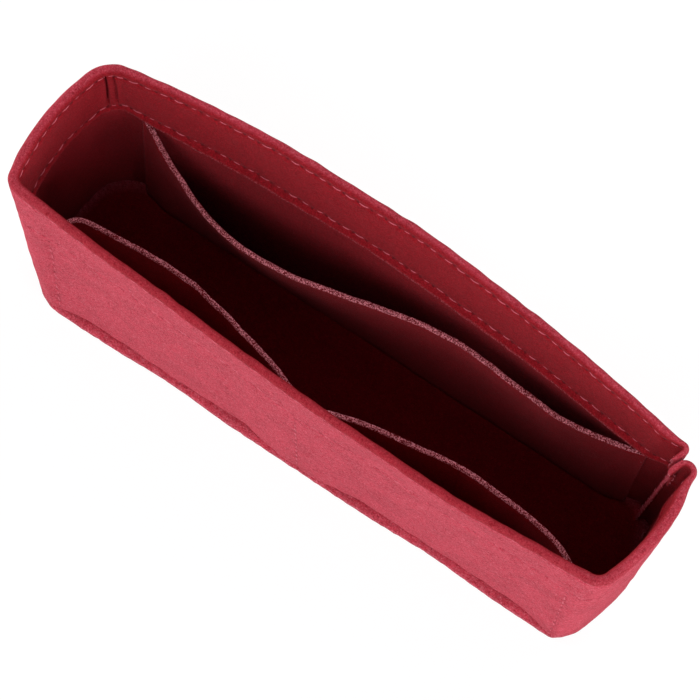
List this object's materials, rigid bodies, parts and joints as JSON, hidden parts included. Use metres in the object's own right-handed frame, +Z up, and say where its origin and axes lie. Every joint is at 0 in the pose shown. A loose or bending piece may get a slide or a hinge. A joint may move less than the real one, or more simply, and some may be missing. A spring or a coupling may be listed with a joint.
{
  "type": "purse organizer insert",
  "caption": "Long open-topped felt insert that divides a handbag: folded and stitched hem, flat base, and slip pockets sewn along the front and back walls.",
  "frame": {"origin": "on the surface the base stands on, under the middle of the outside box", "axes": "+Z up out of the open top, +X along the long walls, the front wall with two pockets faces -Y"},
  "size_m": [0.229, 0.0682, 0.0885],
  "materials": {
    "felt": "matt needled felt, dark red",
    "thread": "soft sheen sewing thread"
  },
  "bodies": {
    "box": {"wall_sheet": "felt", "base_sheet": "felt", "front_pocket_left_margin": "felt", "front_pocket_middle_margin": "felt", "front_pocket_right_margin": "felt", "back_pocket_left_margin": "felt", "back_pocket_right_margin": "felt", "hem_upper_thread_outside": "thread", "hem_upper_thread_inside": "thread", "hem_lower_thread_outside": "thread", "hem_lower_thread_inside": "thread", "base_seam_thread_outside": "thread", "base_seam_thread_inside": "thread", "closing_seam_thread_back": "thread", "closing_seam_thread_end": "thread", "front_pocket_left_thread_outside": "thread", "front_pocket_left_thread_inside": "thread", "front_pocket_middle_thread_outside": "thread", "front_pocket_middle_thread_inside": "thread", "front_pocket_right_thread_outside": "thread", "front_pocket_right_thread_inside": "thread", "back_pocket_left_thread_outside": "thread", "back_pocket_left_thread_inside": "thread", "back_pocket_right_thread_outside": "thread", "back_pocket_right_thread_inside": "thread"},
    "front_left_mouth": {"front_pocket_left_mouth": "felt"},
    "front_right_mouth": {"front_pocket_right_mouth": "felt"},
    "back_mouth": {"back_pocket_mouth": "felt"}
  },
  "joints": [
    {"name": "front_left_mouth_flex", "type": "hinge", "parent": "box", "child": "front_left_mouth", "pos_m": [-0.0505, -0.0253, 0.0032], "axis": [-1, 0, 0], "range_deg": [-4, 5], "stiffness_Nm_per_rad": 0.2},
    {"name": "front_right_mouth_flex", "type": "hinge", "parent": "box", "child": "front_right_mouth", "pos_m": [0.0505, -0.0253, 0.0032], "axis": [-1, 0, 0], "range_deg": [-4, 5], "stiffness_Nm_per_rad": 0.2},
    {"name": "back_mouth_flex", "type": "hinge", "parent": "box", "child": "back_mouth", "pos_m": [0, 0.0192, 0.0032], "axis": [1, 0, 0], "range_deg": [-4, 5], "stiffness_Nm_per_rad": 0.2}
  ]
}
